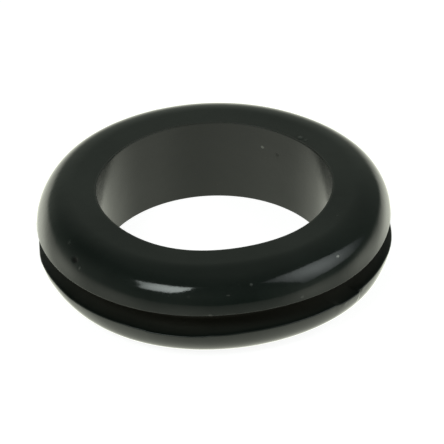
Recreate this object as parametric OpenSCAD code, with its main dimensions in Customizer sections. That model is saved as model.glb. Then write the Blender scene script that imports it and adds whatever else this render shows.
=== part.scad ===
// Open (through-hole) cable grommet, moulded in one piece.
// A round collar with two equal flanges and a panel groove between them.
// It snaps into a round hole in a panel: the edge of the hole sits in the
// groove, and the cable runs through the bore.
// Origin: centre of the lower flange's flat face. The bore runs along +Z.

/* [Bore] */
// Diameter of the round cable opening
bore_d = 20; // [14:0.5:21]
// Rounding radius of the two mouths of the opening
mouth_r = 0.1; // [0.1:0.05:0.6]

/* [Flanges] */
// Outside diameter over the flanges
flange_d = 30.3; // [29:0.1:40]
// Thickness of each flange, from its flat face to the wall of the groove
flange_t = 3; // [2.4:0.05:3.2]
// How far the centre of the shoulder arc lies past the groove wall (the arc's radius is flange_t plus this)
shoulder_past = 0.25; // [0:0.05:0.4]
// Rounding radius of the flange's lip, where the shoulder meets the groove wall
lip_r = 0.1; // [0.1:0.05:0.4]

/* [Panel groove] */
// Width of the groove, for panels up to about 2 mm thick
groove_w = 2; // [1.2:0.1:4]
// Diameter at the floor of the groove, equal to the panel hole
groove_d = 25; // [23.5:0.5:26]
// Fillet radius in the two inner corners of the groove
root_r = 0.3; // [0.1:0.05:0.5]

/* [Hidden] */
$fn = 144;

height = 2 * flange_t + groove_w;
bore_r = bore_d / 2;
flange_r = flange_d / 2;
floor_r = groove_d / 2;
// shoulder arc: tangent to the flat face, its centre a little past the groove wall
shoulder_r = flange_t + shoulder_past;
// lip arc: its outermost point sets the flange's diameter, and it runs square into the groove wall
lip_x = flange_r - lip_r;
lip_y = flange_t - lip_r;
// the shoulder is tangent to the lip, but for about 0.002 mm that the lip stands out, so that
// the two arcs cross in one clean point; whole microns, so that the flat ring meets it exactly
shoulder_x = floor(1000 * (lip_x - 0.0015 - sqrt(pow(shoulder_r - lip_r, 2) - pow(shoulder_r - lip_y, 2)))) / 1000;

rubber = [0.13, 0.14, 0.13];

// The sleeve that joins the flanges: the bore on its inside, the groove's floor on its outside.
module sleeve_section() {
    translate([bore_r, mouth_r]) square([floor_r - bore_r, height - 2 * mouth_r]);
}

// The flat ring round the opening, with the rounded mouth on its inner edge.
module land_section() {
    translate([bore_r + mouth_r, 0]) square([shoulder_x - bore_r - mouth_r, flange_t]);
    intersection() {
        translate([bore_r + mouth_r, mouth_r]) circle(r = mouth_r);
        translate([bore_r, 0]) square([mouth_r, mouth_r]);
    }
}

// What the lip's arc takes off the sharp corner between the shoulder and the groove wall.
module lip_waste() {
    difference() {
        translate([lip_x, lip_y]) square([2 * lip_r, 2 * lip_r]);
        translate([lip_x, lip_y]) circle(r = lip_r);
    }
}

// The broad shoulder, from the flat ring out to the lip and back along the groove wall.
module shoulder_section() {
    difference() {
        intersection() {
            translate([shoulder_x, shoulder_r]) circle(r = shoulder_r);
            translate([shoulder_x, -1]) square([2 * shoulder_r, flange_t + 1]);
        }
        lip_waste();
    }
}

// Fillet between the groove's wall and its floor.
module root_section() {
    difference() {
        translate([floor_r, flange_t]) square([root_r, root_r]);
        translate([floor_r + root_r, flange_t + root_r]) circle(r = root_r);
    }
}

// One flange's half section, flat face down on y = 0.
module flange_section() {
    land_section();
    shoulder_section();
    root_section();
}

module grommet() {
    color(rubber)
        rotate_extrude()
            union() {
                sleeve_section();
                flange_section();
                translate([0, height]) mirror([0, 1]) flange_section();
            }
}

grommet();
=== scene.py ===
import math

import bpy
import numpy as np
from mathutils import Matrix, Vector


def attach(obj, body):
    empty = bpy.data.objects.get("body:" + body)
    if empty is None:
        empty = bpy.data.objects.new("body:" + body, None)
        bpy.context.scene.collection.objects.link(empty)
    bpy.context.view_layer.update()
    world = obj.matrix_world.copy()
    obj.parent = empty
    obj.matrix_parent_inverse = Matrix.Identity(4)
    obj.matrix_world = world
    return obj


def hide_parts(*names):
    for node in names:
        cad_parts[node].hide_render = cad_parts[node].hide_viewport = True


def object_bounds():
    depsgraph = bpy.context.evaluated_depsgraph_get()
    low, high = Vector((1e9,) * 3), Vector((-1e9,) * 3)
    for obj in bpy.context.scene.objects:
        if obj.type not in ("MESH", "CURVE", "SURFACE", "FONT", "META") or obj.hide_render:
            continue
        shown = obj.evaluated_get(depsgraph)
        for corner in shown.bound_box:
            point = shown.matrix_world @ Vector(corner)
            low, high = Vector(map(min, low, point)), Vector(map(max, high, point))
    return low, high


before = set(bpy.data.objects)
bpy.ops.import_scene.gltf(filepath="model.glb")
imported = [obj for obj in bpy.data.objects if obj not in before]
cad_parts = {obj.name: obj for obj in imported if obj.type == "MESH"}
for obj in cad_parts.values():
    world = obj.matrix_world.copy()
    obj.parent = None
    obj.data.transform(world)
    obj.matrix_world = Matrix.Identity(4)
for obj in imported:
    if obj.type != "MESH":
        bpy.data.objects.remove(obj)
CAD_LO, CAD_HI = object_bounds()
HEIGHT = (CAD_HI.z - CAD_LO.z) * 1000.0  # millimetres from here on, unless a name says otherwise
FLANGE_R = round(CAD_HI.x * 1000.0, 3)
MM = 0.001

# ----------------------------------------------------------------------------
# Section of the moulding, the same one as the CAD part's
# ----------------------------------------------------------------------------
BORE_R = 10.0
MOUTH_R = 0.06
FLOOR_R = 12.5
FLANGE_T = 3.0
SHOULDER_R = 3.25
LIP_R = 0.1
ROOT_R = 0.3
LIP_X = FLANGE_R - LIP_R
LIP_Y = FLANGE_T - LIP_R
SHOULDER_X = LIP_X - 0.0015 - math.sqrt((SHOULDER_R - LIP_R) ** 2 - (SHOULDER_R - LIP_Y) ** 2)
MID = HEIGHT / 2.0

# zones along the section
BORE, MOUTH, LAND, SHOULDER, LIP, WALL, ROOT, FLOOR = range(8)


def arc(cx, cy, r, a0, a1, n):
    """n points along an arc from a0 to a1 degrees, without the first one."""
    t = np.radians(np.linspace(a0, a1, n + 1)[1:])
    return [(cx + r * math.cos(v), cy + r * math.sin(v)) for v in t]


def line(p, q, n):
    """n points from p to q, without the first one."""
    return [
        (p[0] + (q[0] - p[0]) * k / n, p[1] + (q[1] - p[1]) * k / n) for k in range(1, n + 1)
    ]


def half_section(fine):
    """One flange's line from the middle of the bore out to the middle of the groove floor, flat face on y = 0."""
    turn = math.degrees(math.atan2(LIP_Y - SHOULDER_R, LIP_X - SHOULDER_X))
    out = [(BORE_R, MID, BORE)]

    def add(points, zone):
        out.extend((x, y, zone) for x, y in points)

    add(line((BORE_R, MID), (BORE_R, 0.3), 10 if fine else 6), BORE)
    add(line((BORE_R, 0.3), (BORE_R, MOUTH_R), 2), BORE)
    add(arc(BORE_R + MOUTH_R, MOUTH_R, MOUTH_R, 180, 270, 6 if fine else 5), MOUTH)
    add(line((BORE_R + MOUTH_R, 0), (SHOULDER_X, 0), 12 if fine else 5), LAND)
    add(arc(SHOULDER_X, SHOULDER_R, SHOULDER_R, -90, turn, 44 if fine else 26), SHOULDER)
    add(arc(LIP_X, LIP_Y, LIP_R, turn, 90, 9 if fine else 8), LIP)
    add(line((LIP_X, FLANGE_T), (FLOOR_R + ROOT_R, FLANGE_T), 5), WALL)
    add(arc(FLOOR_R + ROOT_R, FLANGE_T + ROOT_R, ROOT_R, -90, -180, 4), ROOT)
    add(line((FLOOR_R, FLANGE_T + ROOT_R), (FLOOR_R, MID), 2), FLOOR)
    return out


lower = half_section(False)
upper = half_section(True)
section = lower + [(x, HEIGHT - y, z) for x, y, z in reversed(upper)][1:]
section = section[:-1]  # its last point is the first one again
SEC_R = np.array([p[0] for p in section])
SEC_Z = np.array([p[1] for p in section])
SEC_ZONE = np.array([p[2] for p in section])

# ----------------------------------------------------------------------------
# What use and moulding left on it: (azimuth deg, radius, height, size, stretch along the
# azimuth, depth, how much of it shows in the colour, kind); azimuth is counted from +X
# towards +Y, a positive depth is a dent
# ----------------------------------------------------------------------------
# a pit's colour is painted shade: near-black, as its hollow would look in shade
MARKS = [
    (-148.52, 13.911, 7.317, 0.20, 1.1, -0.014, 0.045, "speck"),
    (-141.95, 14.483, 6.746, 0.32, 1.5, 0.050, 0.85, "pit"),
    (-138.57, 14.669, 6.480, 0.16, 1.0, -0.014, 0.07, "speck"),
    (-98.74, 14.604, 6.580, 0.12, 1.2, -0.004, 0.03, "speck"),
    (-91.81, 15.149, 5.105, 0.14, 1.6, -0.010, 0.12, "speck"),
    (-86.01, 14.592, 6.597, 0.08, 2.4, -0.008, 0.10, "speck"),
    (-78.15, 14.163, 7.100, 0.15, 1.0, -0.016, 0.14, "speck"),
    (-62.13, 15.107, 5.378, 0.14, 1.5, -0.008, 0.10, "speck"),
    (-44.37, 14.185, 7.079, 0.13, 1.5, -0.014, 0.80, "speck"),
    (-27.29, 11.541, 8.000, 0.11, 1.0, -0.006, 0.07, "speck"),
    (37.82, 10.515, 8.000, 0.10, 1.5, -0.020, 0.08, "speck"),
    (41.42, 10.494, 8.000, 0.20, 1.4, -0.030, 0.11, "speck"),
    (54.10, 10.000, 5.550, 0.27, 0.9, 0.014, 0.36, "pit"),
    (62.69, 10.000, 5.922, 0.17, 1.2, -0.010, 0.42, "speck"),
]


def on_part(az, r, z):
    a = math.radians(az)
    return np.array([r * math.cos(a), r * math.sin(a), z])


# Soft rubber is never quite round or flat: slow waves round the part, (turns, millimetres, phase deg)
UNEVEN = {
    "height": [(1, 0.032, 118), (4, 0.039, 52), (5, 0.037, -15)],
    "upper": [(0, 0.045, 0), (2, 0.060, 82), (3, 0.025, -14), (4, 0.055, 159), (6, 0.022, 171)],
    "lower": [(1, 0.040, 0), (2, 0.019, 24), (3, 0.045, -29), (4, 0.037, -110)],
    "mouth_top": [(0, -0.144, 0), (1, 0.253, -65), (2, 0.142, 20), (3, 0.039, -38), (4, 0.033, 13)],
    "mouth_low": [(2, 0.025, -178), (3, 0.041, -80)],
}


def ease(x):
    x = np.clip(x, 0, 1)
    return x * x * (3 - 2 * x)


def soften(p):
    """Where a point of the true round shape, in millimetres, lies on the uneven one; the foot stays flat."""
    x, y, z = p[..., 0], p[..., 1], p[..., 2]
    a, r = np.arctan2(y, x), np.hypot(x, y)

    def waves(name):
        return sum(mm * np.cos(n * a - math.radians(ph)) for n, mm, ph in UNEVEN[name])

    far, high = ease((r - 10.5) / 3.0), ease((z - FLANGE_T) / (HEIGHT - 2 * FLANGE_T))
    rim = waves("upper") * high + waves("lower") * (1 - high)
    hole = waves("mouth_top") * (z / HEIGHT) + waves("mouth_low") * (1 - z / HEIGHT)
    grow = 1 + (rim * far + hole * (1 - far)) / r
    return np.stack([x * grow, y * grow, z + waves("height") * ease(z / 1.5)], -1)


# the nick beside the upper mouth: a short graze with a raised burr on its outer side
NICK_A, NICK_B = on_part(43.6, 10.40, HEIGHT), on_part(36.4, 10.40, HEIGHT)
# the lower flange's lip: flash left at the parting line
FLASH_FROM, FLASH_TO = -171.0, -167.0
LIP_NICK = on_part(-37.1, FLANGE_R - 0.03, FLANGE_T - 0.05)
# where the lower flange's lip sags or stands up a little: (azimuth deg, millimetres lower)
LIP_SAG = [
    (-180, 0.06), (-160, 0.05), (-150, 0.04), (-143, 0.075), (-137, 0.01), (-128, -0.065), (-120, -0.11), (-117, -0.07),
    (-112.8, -0.03), (-112.0, 0.035), (-99, 0.09), (-94, 0.07), (-92, 0.0), (-86, 0.01), (-81, -0.06), (-56, -0.065),
    (-52, -0.10), (-48.8, -0.10), (-47, 0.01), (-45, 0.045), (-37.9, 0.05), (-37.2, -0.15), (-35, -0.20), (-20, -0.19),
    (20, -0.08), (60, 0.0), (180, 0.06),
]

# where the lower flange bulges or is pressed in: (azimuth deg, millimetres out)
LOW_OUT = [
    (-180, -0.09), (-175, -0.06), (-170, 0.0), (-167, 0.06), (-159, 0.05), (-154, 0.02), (-130, 0.035), (-115, 0.0),
    (-80, -0.025), (-20, -0.025), (-14, 0.02), (-8, 0.01), (0, -0.07), (20, -0.09), (160, -0.09), (180, -0.09),
]

# ----------------------------------------------------------------------------
# Angles: one degree apart, closer beside the marks
# ----------------------------------------------------------------------------
close = [(m[0], 1.1) for m in MARKS] + [(39.5, 4.6), (-37.5, 1.2), (-112.4, 0.6), (-48.0, 1.0), (-170.0, 1.0), (-165.0, 1.0)]


def angles():
    out, a = [], -180.0
    while a < 180.0 - 1e-9:
        out.append(a)
        near = min(abs((a - c + 180) % 360 - 180) - w for c, w in close)
        a += 0.2 if near <= 0 else min(1.0, 0.2 + 0.5 * near)
    if 180.0 - out[-1] < 0.12:
        out.pop()
    return np.radians(np.array(out))


ANG = angles()


def wave(seed, count, low, high):
    """A smooth closed wave round the part: count sine terms of low to high turns, with a fixed seed."""
    rng = np.random.RandomState(seed)
    n = rng.randint(low, high + 1, count)
    ph = rng.uniform(0, 2 * math.pi, count)
    am = rng.uniform(0.4, 1.0, count) / np.sqrt(count)
    return lambda a: sum(am[k] * np.sin(n[k] * a + ph[k]) for k in range(count))


def build_rubber():
    na, ns = len(ANG), len(SEC_R)
    # normals of the section
    d = np.stack([np.roll(SEC_R, -1) - np.roll(SEC_R, 1), np.roll(SEC_Z, -1) - np.roll(SEC_Z, 1)], 1)
    d /= np.linalg.norm(d, axis=1)[:, None]
    nr, nz = d[:, 1], -d[:, 0]  # outward, for a section that runs anticlockwise
    A, R = np.meshgrid(ANG, SEC_R, indexing="ij")
    _, Z = np.meshgrid(ANG, SEC_Z, indexing="ij")
    _, NR = np.meshgrid(ANG, nr, indexing="ij")
    _, NZ = np.meshgrid(ANG, nz, indexing="ij")
    _, ZONE = np.meshgrid(ANG, SEC_ZONE, indexing="ij")
    P = np.stack([R * np.cos(A), R * np.sin(A), Z], -1)
    N = np.stack([NR * np.cos(A), NR * np.sin(A), NZ], -1)
    top = Z > MID

    # a hundredth of a millimetre or so of ripple, fading out towards the groove, the mouths and the foot
    push = np.zeros_like(R)
    w_top, w_low, w_bore = wave(3, 5, 2, 7), wave(11, 5, 2, 7), wave(17, 4, 2, 5)
    ripple_a, ripple_b = wave(23, 7, 9, 26), wave(29, 7, 9, 26)
    outer = np.where(ZONE == SHOULDER, ease((R - SHOULDER_X) / 1.6), 0.0)
    outer = np.where(ZONE == LIP, 1.0, outer)
    outer = np.where(ZONE == WALL, ease((R - FLOOR_R - ROOT_R) / (LIP_X - FLOOR_R - ROOT_R)), outer)
    land = np.where(ZONE == LAND, np.sin(np.pi * np.clip((R - BORE_R - MOUTH_R) / (SHOULDER_X - BORE_R - MOUTH_R), 0, 1)), 0.0)
    bore = np.where(ZONE == BORE, np.sin(np.pi * np.clip(Z / HEIGHT, 0, 1)) ** 0.6, 0.0)
    push += outer * np.where(top, 0.010 * w_top(A) + 0.0020 * ripple_a(A), 0.010 * w_low(A) + 0.0025 * ripple_b(A))
    push += outer * 0.0016 * np.sin(2.3 * (Z + 0.35 * R) + 5 * np.sin(A * 3))
    push += np.where(top, 0.004 * land * w_low(A + 0.7), 0.0)
    push += bore * (0.010 * w_bore(A) + 0.004 * np.sin(1.1 * Z + 2 * np.sin(2 * A)))
    push *= ease(Z / 0.3)

    # marks
    for az, r, z, size, stretch, depth, show, kind in MARKS:
        off = P - on_part(az, r, z)
        a = math.radians(az)
        side = off @ np.array([-math.sin(a), math.cos(a), 0.0])
        t = np.sqrt(np.maximum((off**2).sum(-1) - side**2 * (1 - 1 / stretch**2), 0.0)) / size
        core = np.clip(1 - (t / 1.0) ** 2, 0, 1) ** 2
        ring = np.clip(1 - ((t - 1.35) / 0.55) ** 2, 0, 1) ** 2
        push -= depth * core
        if kind == "speck":
            push -= 0.18 * abs(depth) * ring

    # graze beside the upper mouth
    ab = NICK_B - NICK_A
    along = np.clip(((P - NICK_A) @ ab) / (ab @ ab), 0, 1)
    near = P - (NICK_A + along[..., None] * ab)
    across = np.hypot(P[..., 0], P[..., 1]) - (10.40 + 0.02 * np.sin(along * 9))
    dist = np.linalg.norm(near, axis=-1)
    taper = np.clip(1 - (2 * along - 1) ** 2, 0, 1) ** 0.7
    on_top = (Z > HEIGHT - 0.4) & (dist < 0.6)
    cut = np.exp(-(((across + 0.13) / 0.07) ** 2)) * taper
    two = np.exp(-(((along - 0.30) / 0.20) ** 2)) + 0.6 * np.exp(-(((along - 0.80) / 0.09) ** 2))
    burr = np.exp(-(((across - 0.09) / 0.09) ** 2)) * two
    push += np.where(on_top, -0.045 * cut + 0.030 * burr, 0.0)

    # the lower flange's lip: uneven flash at the parting line
    rag = wave(41, 16, 30, 150)
    deg = np.degrees(A)
    lowlip = ((ZONE == LIP) | (ZONE == SHOULDER)) & ~top
    lip_w = np.where(lowlip, np.exp(-(((Z - FLANGE_T + 0.08) / 0.18) ** 2)), 0.0)
    rag_amt = 0.004 + 0.012 * np.exp(-(((deg + 43) / 12) ** 2))
    push += lip_w * rag_amt * np.clip(0.35 + rag(A), -0.4, 2.0)
    nub = np.clip(1 - np.abs(deg - FLASH_FROM - 1.0) / 2.4, 0, 1) ** 0.8 + 0.55 * np.clip(
        1 - np.abs(deg - FLASH_TO - 2) / 6.0, 0, 1
    )
    push += lip_w * 0.030 * nub
    c = np.linalg.norm(P - LIP_NICK, axis=-1)
    push -= np.where(lowlip, 0.07 * np.exp(-((c / 0.20) ** 2)), 0.0)
    # the upper lip has a trace of it
    uplip = ((ZONE == LIP)) & top
    push += np.where(uplip, 0.006 * np.clip(wave(53, 12, 25, 110)(A), -0.5, 2.0), 0.0)

    P = P + N * push[..., None]
    sag = np.interp(deg, *zip(*LIP_SAG))
    P[..., 2] -= np.where(top, 0.0, sag * ease((R - 13.6) / 1.2) * ease((Z - 1.4) / 1.4))
    out = np.where(top, 0.0, np.interp(deg, *zip(*LOW_OUT)) * ease((R - 13.0) / 1.6))
    P[..., 0] += out * np.cos(A)
    P[..., 1] += out * np.sin(A)
    P = soften(P)
    P[..., 2] = np.maximum(P[..., 2], 0.0)

    verts = (P.reshape(-1, 3) * MM).astype(np.float64)
    i = np.arange(na)[:, None]
    j = np.arange(ns)[None, :]
    i2, j2 = (i + 1) % na, (j + 1) % ns
    faces = np.stack(
        [
            (i * ns + j + 0 * j2),
            (i2 * ns + j),
            (i2 * ns + j2),
            (i * ns + j2),
        ],
        -1,
    ).reshape(-1, 4)
    me = bpy.data.meshes.new("rubber_grommet")
    me.from_pydata([tuple(v) for v in verts], [], [tuple(int(k) for k in f) for f in faces])
    me.validate()
    me.update()
    # signed volume decides which way the faces turn
    v = P.reshape(-1, 3)
    q = faces
    vol = 0.0
    for a, b, c2 in ((0, 1, 2), (0, 2, 3)):
        vol += np.einsum("ij,ij->i", v[q[:, a]], np.cross(v[q[:, b]], v[q[:, c2]])).sum() / 6.0
    if vol < 0:
        me.flip_normals()
    me.polygons.foreach_set("use_smooth", np.ones(len(me.polygons), dtype=bool))

    # masks that the material reads
    def attribute(name, values):
        at = me.attributes.new(name, "FLOAT", "POINT")
        at.data.foreach_set("value", values.reshape(-1).astype(np.float32))

    attribute("bore", np.isin(ZONE, (BORE,)).astype(float))
    # groove weight, rising towards the groove floor: the material lifts the colour by it, partly dust and partly
    # painted light against the groove's shade
    groove = np.where(ZONE == WALL, 0.14 + 0.5 * np.clip(1 - (R - FLOOR_R - ROOT_R) / 1.6, 0, 1), 0.0)
    groove = np.where(np.isin(ZONE, (ROOT, FLOOR)), 0.64, groove)
    attribute("groove", groove)
    # edge: the mouths' rounded edges, which the material colours lighter (a painted light line) and makes duller
    attribute("edge", ((ZONE == MOUTH) & (Z > 0)).astype(float))
    attribute("lip", (ZONE == LIP).astype(float))
    ob = bpy.data.objects.new("rubber_grommet", me)
    bpy.context.scene.collection.objects.link(ob)
    return ob, abs(vol)


# ----------------------------------------------------------------------------
# Node helpers
# ----------------------------------------------------------------------------
class Tree:
    def __init__(self, tree):
        self.t = tree
        self.t.nodes.clear()

    def node(self, kind, **props):
        n = self.t.nodes.new(kind)
        for k, v in props.items():
            setattr(n, k, v)
        return n

    def link(self, a, b):
        self.t.links.new(a, b)

    def put(self, socket, value):
        if isinstance(value, bpy.types.NodeSocket):
            self.link(value, socket)
        else:
            socket.default_value = value

    def math(self, op, a, b=None, c=None, clamp=False):
        n = self.node("ShaderNodeMath", operation=op, use_clamp=clamp)
        self.put(n.inputs[0], a)
        if b is not None:
            self.put(n.inputs[1], b)
        if c is not None:
            self.put(n.inputs[2], c)
        return n.outputs[0]

    def vmath(self, op, a, b=None):
        n = self.node("ShaderNodeVectorMath", operation=op)
        self.put(n.inputs[0], a)
        if b is not None:
            self.put(n.inputs[1], b)
        return n.outputs["Value"] if op in ("DOT_PRODUCT", "LENGTH", "DISTANCE") else n.outputs["Vector"]

    def ramp(self, x, lo, hi, out_lo=0.0, out_hi=1.0, smooth=True):
        n = self.node("ShaderNodeMapRange", interpolation_type="SMOOTHSTEP" if smooth else "LINEAR")
        if not smooth:
            n.clamp = True
        self.put(n.inputs["Value"], x)
        n.inputs["From Min"].default_value = lo
        n.inputs["From Max"].default_value = hi
        n.inputs["To Min"].default_value = out_lo
        n.inputs["To Max"].default_value = out_hi
        return n.outputs["Result"]

    def mix(self, f, a, b):
        n = self.node("ShaderNodeMix", data_type="RGBA", blend_type="MIX")
        self.put(n.inputs[0], f)
        self.put(n.inputs[6], a if isinstance(a, bpy.types.NodeSocket) else (*a, 1.0))
        self.put(n.inputs[7], b if isinstance(b, bpy.types.NodeSocket) else (*b, 1.0))
        return n.outputs[2]

    def noise(self, vec, scale, detail=2.0, rough=0.5, distortion=0.0):
        n = self.node("ShaderNodeTexNoise", noise_dimensions="3D")
        self.link(vec, n.inputs["Vector"])
        n.inputs["Scale"].default_value = scale
        n.inputs["Detail"].default_value = detail
        n.inputs["Roughness"].default_value = rough
        n.inputs["Distortion"].default_value = distortion
        return n.outputs["Fac"]


# ----------------------------------------------------------------------------
# Rubber
# ----------------------------------------------------------------------------
def rubber_material():
    m = bpy.data.materials.new("black_rubber")
    m.use_nodes = True
    t = Tree(m.node_tree)
    out = t.node("ShaderNodeOutputMaterial")
    bsdf = t.node("ShaderNodeBsdfPrincipled")
    t.link(bsdf.outputs["BSDF"], out.inputs["Surface"])
    bsdf.inputs["IOR"].default_value = 1.5
    bsdf.inputs["Metallic"].default_value = 0.0

    co = t.node("ShaderNodeTexCoord").outputs["Object"]
    mm = t.vmath("SCALE", co)
    mm.node.inputs["Scale"].default_value = 1000.0
    bore = t.node("ShaderNodeAttribute", attribute_name="bore").outputs["Fac"]
    groove = t.node("ShaderNodeAttribute", attribute_name="groove").outputs["Fac"]
    edge = t.node("ShaderNodeAttribute", attribute_name="edge").outputs["Fac"]
    lip = t.node("ShaderNodeAttribute", attribute_name="lip").outputs["Fac"]

    # colour: two close blacks in soft clouds; lighter in the bore, painted light standing in for the table's reflection
    # there; lighter and browner in the groove, partly dust and partly painted light lifting its shade
    cloud = t.noise(mm, 0.33, 3.0, 0.55)
    fine = t.noise(mm, 2.7, 3.0, 0.6)
    tone = t.ramp(t.math("MULTIPLY_ADD", fine, 0.3, t.math("MULTIPLY", cloud, 0.7)), 0.38, 0.62)
    base = t.mix(tone, (0.0047, 0.0088, 0.0075), (0.0070, 0.0119, 0.0102))
    # painted light: the bore is coloured lighter, standing in for the table's light it reflects
    base = t.mix(t.math("MULTIPLY", bore, 0.6), base, (0.0108, 0.0142, 0.0118))
    # the groove is lighter and browner: partly dust, partly painted light lifting the shade in it
    base = t.mix(groove, base, (0.100, 0.094, 0.076))
    # painted light: the mouths' rounded edges are coloured lighter, a light line along them
    base = t.mix(edge, base, (0.028, 0.030, 0.027))

    # dust: sparse fine grains everywhere
    vor = t.node("ShaderNodeTexVoronoi", feature="F1", distance="EUCLIDEAN")
    t.link(mm, vor.inputs["Vector"])
    vor.inputs["Scale"].default_value = 2.1
    vor.inputs["Randomness"].default_value = 1.0
    sep = t.node("ShaderNodeSeparateColor")
    t.link(vor.outputs["Color"], sep.inputs["Color"])
    some = t.math("GREATER_THAN", sep.outputs["Red"], 0.86)
    size = t.math("MULTIPLY_ADD", sep.outputs["Green"], 0.055, 0.035)
    grain = t.math("SUBTRACT", 1.0, t.math("DIVIDE", vor.outputs["Distance"], size), clamp=True)
    grain = t.math("MULTIPLY", t.ramp(grain, 0.0, 0.6), some)
    grain = t.math("MULTIPLY", grain, 0.22)

    # the marks that can be seen one by one
    spots = None
    pits_and_painted_shade = None
    for az, r, z, size_, stretch, depth, show, kind in MARKS:
        off = t.vmath("SUBTRACT", mm, tuple(float(v) for v in soften(on_part(az, r, z))))
        a = math.radians(az)
        side = t.vmath("DOT_PRODUCT", off, (-math.sin(a), math.cos(a), 0.0))
        d2 = t.math("MULTIPLY_ADD", t.math("MULTIPLY", side, side), 1 / stretch**2 - 1, t.vmath("DOT_PRODUCT", off, off))
        dist = t.math("SQRT", t.math("MAXIMUM", d2, 0.0))
        s = t.ramp(dist, size_ * 0.35, size_ * 1.1, show, 0.0)
        if kind == "speck":
            spots = s if spots is None else t.math("MAXIMUM", spots, s)
        else:
            pits_and_painted_shade = s if pits_and_painted_shade is None else t.math("MAXIMUM", pits_and_painted_shade, s)
    base = t.mix(grain, base, (0.16, 0.16, 0.15))
    base = t.mix(spots, base, (0.42, 0.43, 0.41))
    # painted shade: the pits are coloured near-black
    base = t.mix(pits_and_painted_shade, base, (0.004, 0.004, 0.004))
    t.link(base, bsdf.inputs["Base Color"])
    # painted shade: the pits' reflection is cut as well, as if their bottoms lay in shade
    t.link(t.math("MULTIPLY_ADD", pits_and_painted_shade, -0.40, 0.5, clamp=True), bsdf.inputs["Specular IOR Level"])

    # gloss: a moulded skin, a little uneven; duller in the bore, dull in the groove and on the dust
    patch = t.noise(mm, 0.55, 3.0, 0.6)
    micro = t.noise(mm, 7.0, 2.0, 0.6)
    rough = t.math("MULTIPLY_ADD", t.ramp(patch, 0.35, 0.65), 0.03, 0.075)
    rough = t.math("MULTIPLY_ADD", micro, 0.03, rough)
    rough = t.math("MULTIPLY_ADD", bore, 0.12, rough)
    rough = t.math("MULTIPLY_ADD", t.ramp(groove, 0.0, 0.14), 0.26, rough)
    rough = t.math("MULTIPLY_ADD", groove, 0.25, rough)
    rough = t.math("MULTIPLY_ADD", edge, 0.34, rough)
    rough = t.math("MULTIPLY_ADD", grain, 0.8, rough)
    rough = t.math("MULTIPLY_ADD", lip, 0.22, rough)
    rough = t.math("MULTIPLY_ADD", t.math("MAXIMUM", spots, pits_and_painted_shade), 0.35, rough, clamp=True)
    t.link(rough, bsdf.inputs["Roughness"])

    # relief: orange peel, then a fine skin
    peel = t.noise(mm, 0.9, 2.0, 0.5)
    skin = t.noise(mm, 5.5, 3.0, 0.65)
    b1 = t.node("ShaderNodeBump")
    b1.inputs["Strength"].default_value = 1.0
    b1.inputs["Distance"].default_value = 0.0000100
    t.link(peel, b1.inputs["Height"])
    b2 = t.node("ShaderNodeBump")
    b2.inputs["Strength"].default_value = 1.0
    b2.inputs["Distance"].default_value = 0.0000012
    t.link(t.math("MULTIPLY", skin, t.math("MULTIPLY_ADD", bore, -0.5, 1.0)), b2.inputs["Height"])
    t.link(b1.outputs["Normal"], b2.inputs["Normal"])
    t.link(b2.outputs["Normal"], bsdf.inputs["Normal"])
    return m


rubber, volume_mm3 = build_rubber()
rubber.data.materials.append(rubber_material())
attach(rubber, "root")
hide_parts("grommet")


# ----------------------------------------------------------------------------
# Studio: a light table under the part, a dim room, two soft boxes
# ----------------------------------------------------------------------------
def direction(az, el):
    """az 0 looks along +Y and 90 along +X, el is above the horizon, in degrees."""
    a, e = math.radians(az), math.radians(el)
    return Vector((math.sin(a) * math.cos(e), math.cos(a) * math.cos(e), math.sin(e)))


# the table's far edge as the part sees it: (azimuth deg, how high it stands, half its soft width, both deg)
EDGE = [
    (-180, 5.3, 1.7), (-156, 8.1, 1.7), (-132, 7.5, 3.0), (-108, 8.6, 8.0), (-84, 9.2, 9.0), (-60, 11.2, 8.0),
    (-36, 4.2, 3.5), (-12, 7.9, 8.0), (12, 8.2, 8.0), (36, 1.2, 4.0), (60, 6.0, 7.5), (84, 6.4, 7.0),
    (108, 6.0, 5.0), (132, 4.6, 2.0), (156, 4.6, 2.0), (180, 5.3, 1.7),
]


def horizon(t, d):
    """1 above the table's far edge, 0 below it."""
    sep = t.node("ShaderNodeSeparateXYZ")
    t.link(d, sep.inputs[0])
    turn = t.math("ARCTAN2", sep.outputs["X"], sep.outputs["Y"])
    band = t.node("ShaderNodeValToRGB")
    t.link(t.math("MULTIPLY_ADD", turn, 0.5 / math.pi, 0.5), band.inputs[0])
    ramp = band.color_ramp
    ramp.interpolation = "LINEAR"
    while len(ramp.elements) < len(EDGE):
        ramp.elements.new(0.5)
    for e, (az, high, soft) in zip(ramp.elements, EDGE):
        e.position = (az + 180) / 360.0
    for e, (az, high, soft) in zip(ramp.elements, EDGE):
        e.position = (az + 180) / 360.0
        e.color = (math.radians(high), math.radians(soft), 0.0, 1.0)
    part = t.node("ShaderNodeSeparateColor")
    t.link(band.outputs["Color"], part.inputs["Color"])
    over = t.math("DIVIDE", t.math("SUBTRACT", sep.outputs["Z"], part.outputs["Red"]), part.outputs["Green"])
    return t.ramp(over, -1.0, 1.0)


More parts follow.
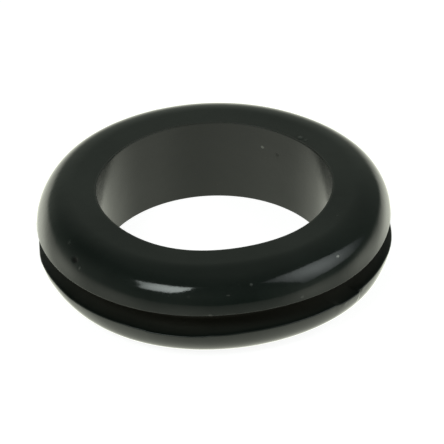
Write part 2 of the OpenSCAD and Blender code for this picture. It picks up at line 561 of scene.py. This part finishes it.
def room():
    w = bpy.data.worlds.new("studio_room")
    bpy.context.scene.world = w
    w.use_nodes = True
    t = Tree(w.node_tree)
    out = t.node("ShaderNodeOutputWorld")
    bg = t.node("ShaderNodeBackground")
    t.link(bg.outputs[0], out.inputs["Surface"])
    d = t.node("ShaderNodeTexCoord").outputs["Generated"]

    def lobes(base, k, rows):
        total = base
        for amp, az, el in rows:
            dot = t.vmath("DOT_PRODUCT", d, tuple(direction(az, el)))
            e = t.math("EXPONENT", t.math("MULTIPLY", t.math("SUBTRACT", dot, 1.0), k))
            total = t.math("MULTIPLY_ADD", e, amp, total)
        return total

    # the dim room
    above = lobes(0.017, 10, [(0.201, 0, 8), (0.070, 40, 8), (0.033, 80, 8), (0.240, 120, 8), (0.075, 200, 8), (0.170, 240, 8), (0.181, 280, 8), (0.101, 320, 8)])
    above = lobes(above, 6, [(0.140, 0, 40), (0.090, 60, 40), (0.028, 120, 40), (0.090, 180, 40)])
    above = lobes(above, 45, [(0.085, 199, 33), (0.117, 0, 6), (0.091, 80, 6), (0.046, 120, 6), (0.053, 200, 6), (0.182, 280, 6), (0.116, 320, 6)])
    above = lobes(above, 15, [(0.036, 337, 33), (0.085, 262, 34)])
    above = lobes(above, 8, [(0.165, 0, 85)])
    # the lit table and the white sweep behind it
    below = lobes(0.179, 18, [(0.069, 0, -8), (0.747, 40, -8), (1.150, 80, -8), (0.742, 120, -8), (0.127, 160, -8), (0.236, 200, -8), (0.516, 240, -8), (0.993, 280, -8), (1.295, 320, -8)])
    below = lobes(below, 14, [(1.773, 0, -27), (0.300, 40, -27), (0.128, 160, -27), (0.256, 200, -27), (0.241, 320, -27)])
    below = lobes(below, 10, [(0.387, 0, -50), (0.469, 60, -50), (0.588, 120, -50), (0.340, 180, -50), (0.662, 240, -50), (0.540, 300, -50)])
    below = lobes(below, 8, [(0.447, 0, -88)])
    below = lobes(below, 60, [(0.42, 0, 2), (0.22, 312, -19), (0.26, 67, -45), (0.28, 293, -45)])
    below = lobes(below, 45, [(0.52, 40, -17), (0.58, 56, -17)])
    f = horizon(t, d)
    n = t.node("ShaderNodeMix", data_type="FLOAT")
    t.link(f, n.inputs[0])
    t.link(below, n.inputs[2])
    t.link(above, n.inputs[3])
    t.link(t.mix(f, (1.034, 1.063, 0.920), (1.001, 1.097, 0.939)), bg.inputs["Color"])
    t.link(n.outputs[0], bg.inputs["Strength"])
    return w


def softbox(name, middle, corners, far, strength, tint, hot=None):
    """A glowing panel facing the part: its corners are seen from the part in those directions."""
    c = direction(*middle)
    pts = []
    for az, el in corners:
        v = direction(az, el)
        pts.append(v * (far / v.dot(c)))
    me = bpy.data.meshes.new(name)
    me.from_pydata([tuple(p) for p in pts], [], [tuple(range(len(pts)))])
    ob = bpy.data.objects.new(name, me)
    bpy.context.scene.collection.objects.link(ob)
    m = bpy.data.materials.new(name)
    m.use_nodes = True
    t = Tree(m.node_tree)
    out = t.node("ShaderNodeOutputMaterial")
    em = t.node("ShaderNodeEmission")
    em.inputs["Color"].default_value = (*tint, 1.0)
    t.link(em.outputs[0], out.inputs["Surface"])
    if hot is None:
        em.inputs["Strength"].default_value = strength
    else:
        # brighter towards its lamp, as a big panel is
        az, el, k = hot
        way = t.vmath("NORMALIZE", t.node("ShaderNodeTexCoord").outputs["Object"])
        dot = t.vmath("DOT_PRODUCT", way, tuple(direction(az, el)))
        e = t.math("EXPONENT", t.math("MULTIPLY", t.math("SUBTRACT", dot, 1.0), k))
        t.link(t.math("MULTIPLY", e, strength), em.inputs["Strength"])
    me.materials.append(m)
    for flag in ("visible_camera", "visible_shadow", "visible_transmission", "visible_volume_scatter"):
        setattr(ob, flag, False)
    return ob


def table():
    """The pale table and the sweep behind it, one smooth surface of revolution that only the camera sees."""
    prof = [(0.0, 0.0)] + [(r, 0.0) for r in (0.012, 0.016, 0.022, 0.03, 0.05, 0.08, 0.15, 0.3, 0.5, 0.65)]
    prof += [(0.65 + 0.3 * math.sin(a), 0.3 - 0.3 * math.cos(a)) for a in np.radians(np.arange(6, 91, 6))]
    prof += [(0.95, 0.5), (0.95, 0.8)]
    prof += [(0.95 * math.cos(a), 0.8 + 0.5 * math.sin(a)) for a in np.radians(np.arange(8, 89, 8))]
    n = 96
    verts, faces = [], []
    for k in range(n):
        a = 2 * math.pi * k / n
        verts += [(r * math.cos(a), r * math.sin(a), z) for r, z in prof[1:]]
    ns = len(prof) - 1
    verts.append((0, 0, 0))
    for k in range(n):
        k2 = (k + 1) % n
        faces.append((n * ns, k * ns, k2 * ns))
        for j in range(ns - 1):
            faces.append((k * ns + j, k * ns + j + 1, k2 * ns + j + 1, k2 * ns + j))
    me = bpy.data.meshes.new("table")
    me.from_pydata(verts, [], faces)
    me.update()
    me.polygons.foreach_set("use_smooth", np.ones(len(me.polygons), dtype=bool))
    ob = bpy.data.objects.new("table", me)
    bpy.context.scene.collection.objects.link(ob)
    m = bpy.data.materials.new("white_table")
    m.use_nodes = True
    t = Tree(m.node_tree)
    out = t.node("ShaderNodeOutputMaterial")
    em = t.node("ShaderNodeEmission")
    em.inputs["Color"].default_value = (1, 1, 1, 1)
    em.inputs["Strength"].default_value = 0.90
    df = t.node("ShaderNodeBsdfDiffuse")
    df.inputs["Color"].default_value = (0.45, 0.45, 0.45, 1)
    add = t.node("ShaderNodeAddShader")
    t.link(em.outputs[0], add.inputs[0])
    t.link(df.outputs[0], add.inputs[1])
    t.link(add.outputs[0], out.inputs["Surface"])
    m.cycles.emission_sampling = "NONE"
    me.materials.append(m)
    for flag in ("visible_diffuse", "visible_glossy", "visible_transmission", "visible_shadow", "visible_volume_scatter"):
        setattr(ob, flag, False)
    return ob


room()
softbox(
    "softbox_left",
    (220, 48),
    [(239.8, 50.1), (231.8, 54.4), (218.6, 56.7), (207.6, 57.3), (197.0, 58.7), (201.8, 57.1), (201.5, 49.8), (205.6, 44.5), (210.7, 37.5), (221.7, 37.2), (229.0, 35.2), (233.1, 45.1)],
    0.6,
    6.72,
    (0.975, 1.072, 1.028),
    hot=(212.6, 48.0, 22.0),
)
softbox(
    "softbox_right",
    (102, 38),
    [(142.0, 52.4), (130.0, 54.3), (118.6, 56.0), (106.0, 55.4), (94.6, 53.4), (88.0, 51.7), (79.0, 43.3), (75.0, 36.3), (68.2, 22.2), (68.6, 16.9), (82.0, 18.1), (97.9, 19.8), (109.9, 20.6), (123.4, 19.4), (131.7, 41.0), (138.2, 50.7)],
    0.6,
    2.26,
    (0.972, 1.047, 1.030),
    hot=(102.5, 40.8, 14.0),
)
table()

# ----------------------------------------------------------------------------
# Camera
# ----------------------------------------------------------------------------
FOCAL_PX = 3111.705
DIST = 0.266414
ELEV = 0.59583
ROLL = -0.02882
OFF = (-8.265, 1.619)


def camera():
    back = np.array([0.0, -math.cos(ELEV), math.sin(ELEV)])
    up = np.array([0.0, math.sin(ELEV), math.cos(ELEV)])
    rt = np.array([1.0, 0.0, 0.0])
    m0 = np.array([rt, -up, -back])
    c, s = math.cos(ROLL), math.sin(ROLL)
    mr = np.array([[c, -s, 0], [s, c, 0], [0, 0, 1.0]])
    t = np.array([OFF[0] / FOCAL_PX, OFF[1] / FOCAL_PX, 1.0])
    t /= np.linalg.norm(t)
    z = np.array([0.0, 0.0, 1.0])
    ax = np.cross(z, t)
    sn, cs = np.linalg.norm(ax), float(z @ t)
    k = ax / sn
    K = np.array([[0, -k[2], k[1]], [k[2], 0, -k[0]], [-k[1], k[0], 0]])
    r = np.eye(3) + sn * K + (1 - cs) * (K @ K)
    m = r @ mr @ m0
    centre = np.array([0.0, 0.0, 0.00385])
    loc = centre + DIST * back
    right, up_, bk = m[0], -m[1], -m[2]
    cam = bpy.data.cameras.new("camera")
    cam.sensor_width = 36.0
    cam.sensor_fit = "HORIZONTAL"
    cam.lens = FOCAL_PX * 36.0 / 444.0
    cam.clip_start, cam.clip_end = 0.01, 5.0
    ob = bpy.data.objects.new("camera", cam)
    ob.matrix_world = Matrix(
        [
            [right[0], up_[0], bk[0], loc[0]],
            [right[1], up_[1], bk[1], loc[1]],
            [right[2], up_[2], bk[2], loc[2]],
            [0, 0, 0, 1],
        ]
    )
    bpy.context.scene.collection.objects.link(ob)
    bpy.context.scene.camera = ob


camera()

scene = bpy.context.scene
scene.view_settings.view_transform = "Standard"
scene.view_settings.look = "None"
scene.view_settings.exposure = 0.0
scene.view_settings.gamma = 1.0
scene.cycles.max_bounces = 8
scene.cycles.diffuse_bounces = 4
scene.cycles.glossy_bounces = 5
scene.cycles.use_denoising = True
scene.cycles.seed = 7

bpy.context.view_layer.update()
print("triangles", 2 * len(rubber.data.polygons), "volume mm3", round(volume_mm3, 1))
